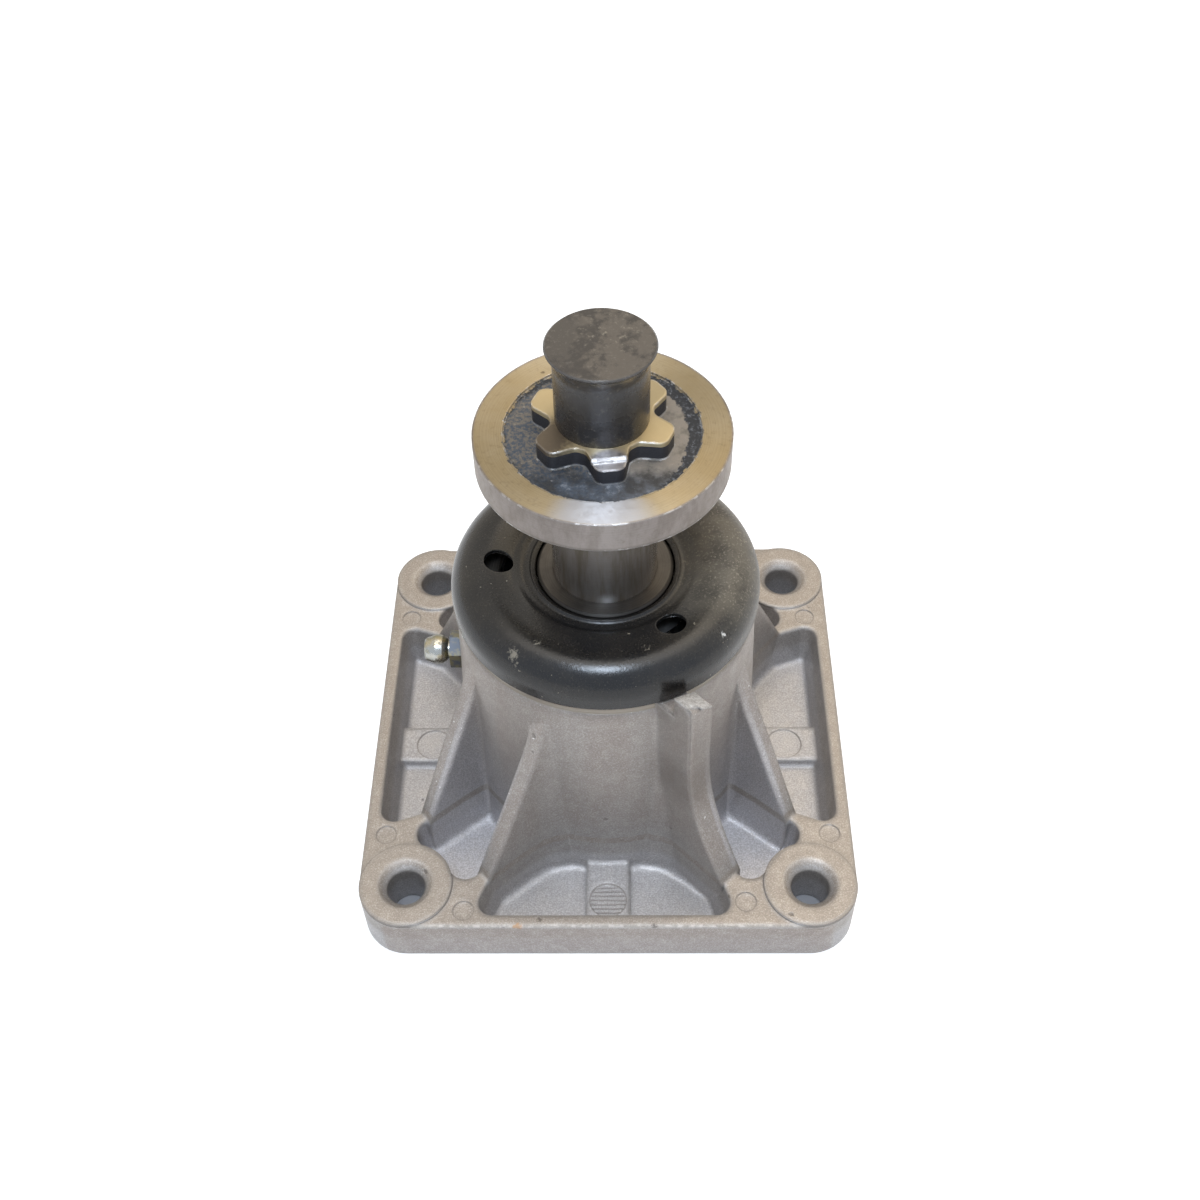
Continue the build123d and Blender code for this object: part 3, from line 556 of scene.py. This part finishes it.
collar_grey = (0.135, 0.125, 0.115, 1.0)
collar_dark = (0.085, 0.078, 0.072, 1.0)
collar_outside = 0.0156

dull_steel, tree, shader = new_material(
    "dull steel ring", Metallic=0.85, Anisotropic=0.6, Anisotropic_Rotation=0.25
)
place = use_effect(tree, shaft_place)
edges = use_effect(tree, soft_edges, Size=0.0004)
marks = use_effect(tree, turning_marks, Pitch=0.00020)["Height"]
clouds = noise(tree, 110.0, 4.0, 0.6)
fine = noise(tree, 1000.0, 3.0, 0.6)
colour = blend_colours(tree, fade(tree, clouds, 0.35, 0.7), collar_grey, collar_dark)
colour = blend_colours(tree, fade(tree, marks, 0.4, 0.75, 0.0, 0.35), colour, (0.05, 0.045, 0.040, 1.0))
dark_outer_edge = fade(tree, place["Radius"], collar_outside, collar_outside + 0.0003, 0.0, 0.8)
colour = blend_colours(tree, dark_outer_edge, colour, (0.030, 0.028, 0.026, 1.0))
paint(tree, shader, colour, fade(tree, fine, 0.3, 0.7, 0.34, 0.46))
bump(tree, shader, product(tree, marks, 0.2), 0.00008, edges["Normal"])
follow_turning(tree, shader)
give(dull_steel, "shaft_collar")


# Stud cap: a thin black cap pushed over the blade stud's thread. Its flared rim is what fingers pull on,
# and its flat top is scuffed to a grey brown.

cap_black = (0.040, 0.037, 0.037, 1.0)
cap_flare_painted_light = (0.075, 0.068, 0.062, 1.0)
cap_scuffed = (0.100, 0.083, 0.066, 1.0)
cap_top = 0.1457

cap, tree, shader = new_material("worn black cap", Metallic=0.0, Specular_IOR_Level=0.5)
place = use_effect(tree, shaft_place)
edges = use_effect(tree, soft_edges, Size=0.0007)
clouds = noise(tree, 160.0, 5.0, 0.65)
streaks = noise(tree, 260.0, 4.0, 0.65, (1.0, 1.0, 0.25))
fine = noise(tree, 1300.0, 3.0, 0.6)
dust = use_effect(tree, spots, Scale=500.0, Share=0.05, Size=0.12)["Mask"]
top = fade(tree, place["Height"], cap_top - 0.00010, cap_top - 0.00002)
# Painted light: the flared rim is painted a lighter grey, as light on its upward slope
flare = fade(tree, place["Height"], 0.1405, 0.1440)
colour = blend_colours(tree, fade(tree, streaks, 0.35, 0.65), cap_black, (0.024, 0.023, 0.024, 1.0))
colour = blend_colours(tree, flare, colour, cap_flare_painted_light)
scuffed = blend_colours(tree, fade(tree, clouds, 0.44, 0.56), cap_scuffed, (0.040, 0.034, 0.029, 1.0))
clouded_x = calculate(tree, "ADD", place["X"], product(tree, clouds, 0.008))
dark_left = fade(tree, clouded_x, 0.001, -0.003, 0.0, 0.5)
scuffed = blend_colours(tree, dark_left, scuffed, (0.040, 0.035, 0.031, 1.0))
flecks = fade(tree, noise(tree, 700.0, 4.0, 0.7), 0.55, 0.68, 0.0, 0.55)
middle = near(tree, (0.0015, 0.0035, cap_top), 0.0060, 0.0050)
scuffed = blend_colours(tree, product(tree, middle, flecks), scuffed, (0.36, 0.31, 0.24, 1.0))
colour = blend_colours(tree, top, colour, scuffed)
colour = blend_colours(tree, fade(tree, fine, 0.55, 0.75, 0.0, 0.3), colour, (0.22, 0.19, 0.16, 1.0))
colour = blend_colours(tree, product(tree, dust, 0.5), colour, (0.36, 0.32, 0.27, 1.0))
paint(tree, shader, colour, fade(tree, clouds, 0.3, 0.7, 0.20, 0.34))
bump(tree, shader, fine, 0.00004, edges["Normal"])
give(cap, "stud_cap")


# Grease nipple: turned from steel, zinc plated with a yellowish tint and screwed into the hub. Its check ball
# is a polished steel ball that a coil spring pushes against the hole in the tip.

zinc_pale = (0.46, 0.46, 0.43, 1.0)
zinc_yellow = (0.42, 0.36, 0.21, 1.0)
zinc_painted_dark_reflection = (0.12, 0.13, 0.12, 1.0)
hexagon_reflection_blue = (0.11, 0.12, 0.14, 1.0)
hexagon_olive = (0.21, 0.19, 0.12, 1.0)
hexagon_end = -0.0402

plated, tree, shader = new_material("yellow zinc plate", Metallic=1.0)
edges = use_effect(tree, soft_edges, Size=0.0003)
tint = noise(tree, 260.0, 3.0, 0.6)
fine = noise(tree, 2200.0, 3.0, 0.6)
colour = blend_colours(tree, fade(tree, tint, 0.40, 0.62), zinc_pale, zinc_yellow)
colour = blend_colours(tree, fade(tree, fine, 0.6, 0.8, 0.0, 0.4), colour, (0.35, 0.30, 0.20, 1.0))
# Painted reflection: the plate is painted darker where it turns away from the camera, as dark surroundings
# mirrored at a glancing angle
glancing_reflection_shade = add_node(tree, "ShaderNodeLayerWeight", {"Blend": 0.5}).outputs["Facing"]
colour = blend_colours(tree, fade(tree, glancing_reflection_shade, 0.25, 0.60, 0.0, 0.70), colour, zinc_painted_dark_reflection)
place = use_effect(tree, shaft_place)
# Painted reflection: the hexagon is painted dark bluish, mixed with the plate's olive tint, as the dark
# surroundings it mirrors
hexagon = fade(tree, place["X"], hexagon_end - 0.00002, hexagon_end + 0.00012)
hexagon_plate_and_reflection = blend_colours(tree, fade(tree, tint, 0.42, 0.58), hexagon_reflection_blue, hexagon_olive)
colour = blend_colours(tree, hexagon, colour, hexagon_plate_and_reflection)
head_rough = fade(tree, tint, 0.35, 0.65, 0.20, 0.34)
paint(tree, shader, colour, blend_values(tree, hexagon, head_rough, 0.55))
bump(tree, shader, fine, 0.00004, edges["Normal"])
give(plated, "grease_nipple")


# Inside pieces: ground bearing rings and balls, moulded cages, rubber seals and spring steel rings.
# They show only from below or through the vents. The nipple's ball and spring have the same finishes.

inside_finishes = (
    ("ground steel", (0.62, 0.62, 0.62, 1.0), (0.45, 0.45, 0.46, 1.0), 1.0, (0.12, 0.22), 0.000008,
     ("upper_bearing_outer_ring", "upper_bearing_inner_ring",
      "lower_bearing_outer_ring", "lower_bearing_inner_ring")),
    ("polished balls", (0.80, 0.80, 0.80, 1.0), (0.70, 0.70, 0.70, 1.0), 1.0, (0.05, 0.12), 0.000002,
     ("upper_bearing_balls", "lower_bearing_balls", "nipple_ball")),
    ("moulded cage", (0.55, 0.47, 0.28, 1.0), (0.46, 0.38, 0.22, 1.0), 0.0, (0.40, 0.55), 0.00002,
     ("upper_bearing_cage", "lower_bearing_cage")),
    ("seal rubber", (0.022, 0.022, 0.022, 1.0), (0.04, 0.038, 0.036, 1.0), 0.0, (0.5, 0.7), 0.00003,
     ("upper_bearing_seal", "lower_bearing_seal")),
    ("spring steel", (0.16, 0.15, 0.14, 1.0), (0.30, 0.28, 0.25, 1.0), 0.9, (0.28, 0.42), 0.00001,
     ("bore_retaining_ring", "shaft_retaining_ring", "nipple_spring")),
)
for name, colour_a, colour_b, metal, (smooth, rough), depth, nodes in inside_finishes:
    finish, tree, shader = new_material(name, Metallic=metal)
    edges = use_effect(tree, soft_edges, Size=0.0003)
    clouds = noise(tree, 300.0, 4.0, 0.6)
    fine = noise(tree, 2400.0, 3.0, 0.6)
    colour = blend_colours(tree, fade(tree, clouds, 0.35, 0.65), colour_a, colour_b)
    paint(tree, shader, colour, fade(tree, fine, 0.3, 0.7, smooth, rough))
    bump(tree, shader, fine, depth, edges["Normal"])
    give(finish, *nodes)


# Floor: a wide pale sheet under the object. To the camera it shows white, and it keeps the object's shadow.
# Under the four bolt holes it is painted grey and does not glow, a painted shade seen through the holes.

bpy.ops.mesh.primitive_plane_add(size=6.0, location=(0, 0, -0.0002))
floor = bpy.context.object
floor.name = "floor"
sheet, tree, shader = new_material("white floor", Roughness=0.9, Specular_IOR_Level=0.0)


def seen_directly(tree):
    """1 for what the camera sees, also mirrored or through glass, and 0 for light that falls on things."""
    path = add_node(tree, "ShaderNodeLightPath")
    seen = calculate(tree, "MAXIMUM", path.outputs["Is Camera Ray"], path.outputs["Is Glossy Ray"])
    return calculate(tree, "MAXIMUM", seen, path.outputs["Is Transmission Ray"])


place = use_effect(tree, shaft_place)
clear = calculate(tree, "GREATER_THAN", reach_from_bolts(tree, place), 0.0075)
whiteness = fade(tree, place["Radius"], 0.35, 1.50, 0.42, 1.0)
colour = blend_colours(tree, clear, (0.25, 0.25, 0.26, 1.0), (0.80, 0.80, 0.80, 1.0))
tree.links.new(colour, shader.inputs["Base Color"])
shader.inputs["Emission Color"].default_value = (1.0, 1.0, 1.0, 1.0)
tree.links.new(product(tree, seen_directly(tree), clear, whiteness), shader.inputs["Emission Strength"])
floor.data.materials.append(sheet)


# Light: a cool soft lamp high in front, a wide warm one overhead, one behind to the right, and a pale room
# that is cooler in front than behind.

room_strength = 0.38
aim_height = 0.06

world = bpy.data.worlds.new("room")
world.use_nodes = True
bpy.context.scene.world = world
tree = world.node_tree
background = tree.nodes["Background"]
path = add_node(tree, "ShaderNodeLightPath")
direction = add_node(tree, "ShaderNodeTexCoord").outputs["Generated"]
towards = add_node(tree, "ShaderNodeSeparateXYZ", {0: direction}).outputs
behind = fade(tree, towards["Y"], -0.7, 0.5)
room = blend_colours(tree, behind, (0.80, 0.88, 1.0, 1.0), (1.0, 0.93, 0.82, 1.0))
room = blend_colours(tree, path.outputs["Is Camera Ray"], room, (1.0, 1.0, 1.0, 1.0))
tree.links.new(room, background.inputs["Color"])
tree.links.new(calculate(tree, "MAXIMUM", seen_directly(tree), room_strength), background.inputs["Strength"])


def soft_lamp(name, place, size, power, colour):
    """A square lamp of that size in metres that faces the object."""
    lamp = bpy.data.lights.new(name, "AREA")
    lamp.size = size
    lamp.energy = power
    lamp.color = colour
    holder = bpy.data.objects.new(name, lamp)
    bpy.context.collection.objects.link(holder)
    aim = Vector((0, 0, aim_height)) - Vector(place)
    holder.matrix_world = Matrix.Translation(place) @ aim.to_track_quat("-Z", "Y").to_matrix().to_4x4()


soft_lamp("front lamp", (-0.03, -0.46, 1.18), 0.34, 8.8, (0.70, 0.83, 1.0))
soft_lamp("overhead lamp", (0.05, 0.04, 1.30), 1.2, 7.5, (1.0, 0.93, 0.84))
soft_lamp("back right lamp", (0.60, 0.62, 1.10), 0.9, 2.6, (1.0, 0.80, 0.52))


# Camera: above and in front, as the photo was taken, looking down at the object and turned and rolled
# a little.

camera_place = (0.0050, -0.2358, 0.3420)
camera_dip = 49.64
camera_turn = 1.57
camera_roll = -1.47

camera_data = bpy.data.cameras.new("camera")
camera_data.lens = 44.24
camera_data.sensor_width = 36.0
camera = bpy.data.objects.new("camera", camera_data)
bpy.context.collection.objects.link(camera)
camera.matrix_world = (
    Matrix.Translation(camera_place)
    @ Matrix.Rotation(radians(camera_turn), 4, "Z")
    @ Matrix.Rotation(radians(90 - camera_dip), 4, "X")
    @ Matrix.Rotation(radians(camera_roll), 4, "Z")
)
bpy.context.scene.camera = camera
bpy.context.scene.view_settings.view_transform = "Standard"
